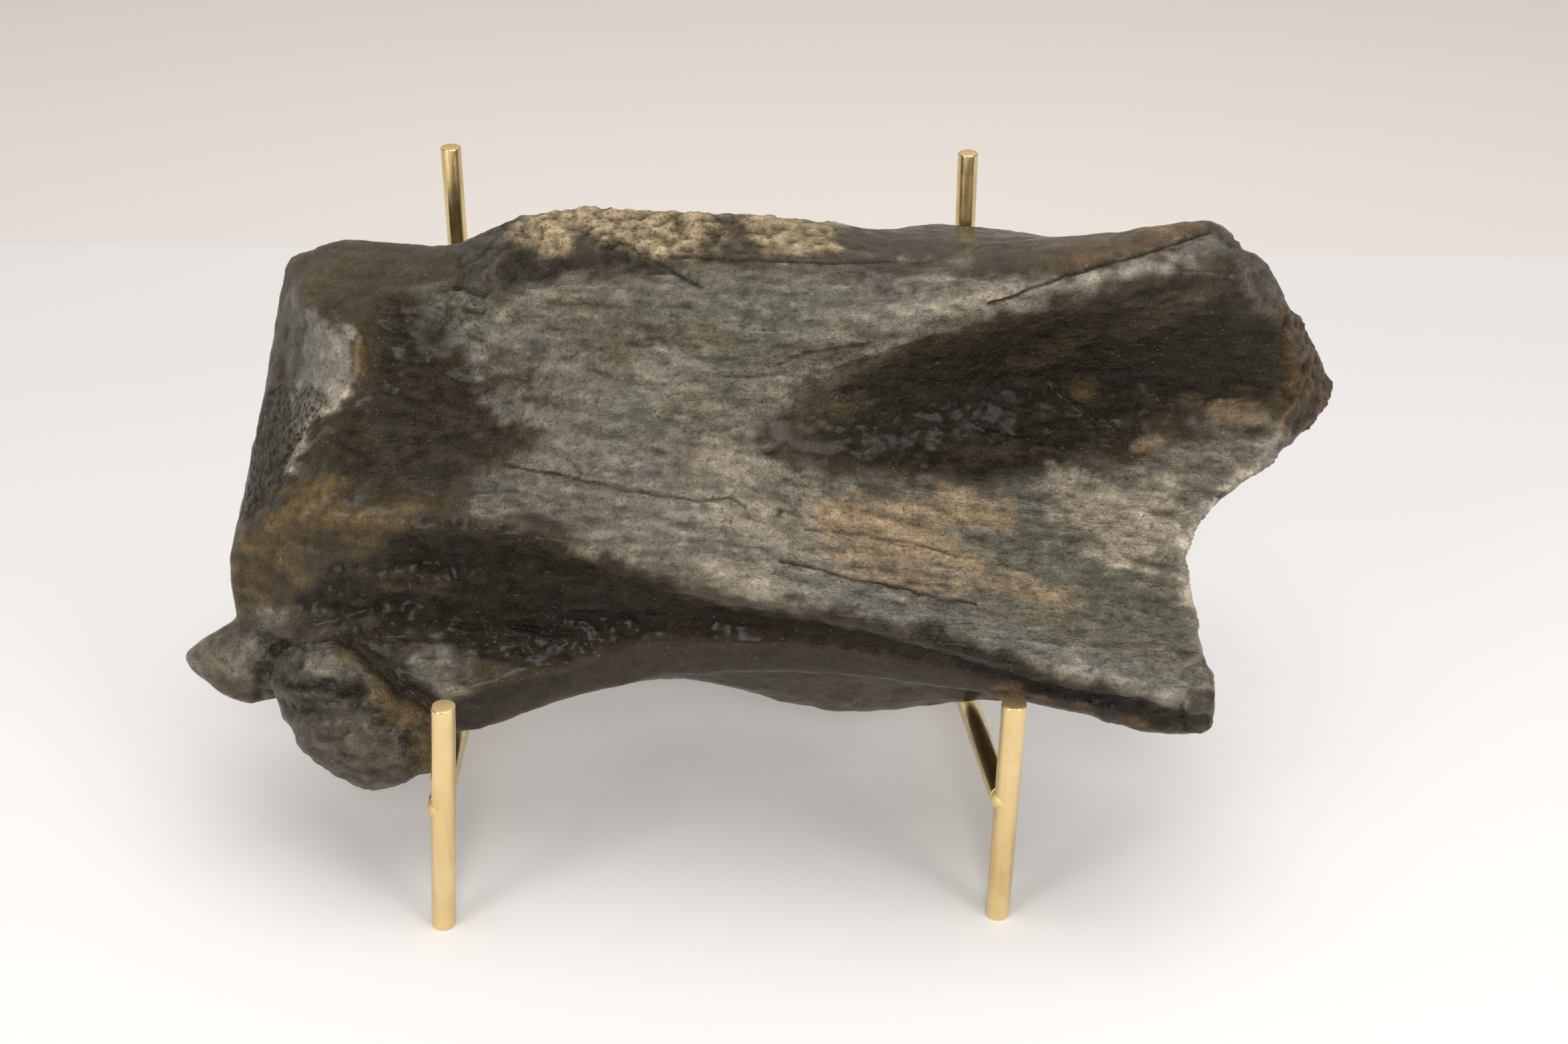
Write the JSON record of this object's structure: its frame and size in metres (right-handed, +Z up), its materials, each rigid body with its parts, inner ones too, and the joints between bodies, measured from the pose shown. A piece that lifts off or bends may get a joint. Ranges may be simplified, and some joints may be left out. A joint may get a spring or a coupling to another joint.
{
  "type": "mounted fossil dinosaur bone",
  "caption": "Flat, ridged fossil bone with a broken notched end and a knobbed corner, leaning on a stand of brass rods.",
  "frame": {"origin": "centre of the model's box on the floor that the stand's four feet rest on", "axes": "+Z up, +X along the bone from its knobbed end to its broken end, -Y towards the viewer"},
  "size_m": [0.313, 0.1338, 0.1698],
  "materials": {
    "fossil": "semi-gloss, mineralised bone with fine grain",
    "brass": "polished round rod with light handling marks"
  },
  "bodies": {
    "root": {"fossil_bone": "fossil", "stand_leg_left": "brass", "stand_leg_right": "brass", "stand_strut_left": "brass", "stand_strut_right": "brass", "stand_post_left": "brass", "stand_post_right": "brass", "stand_cross_bar": "brass"}
  },
  "joints": []
}
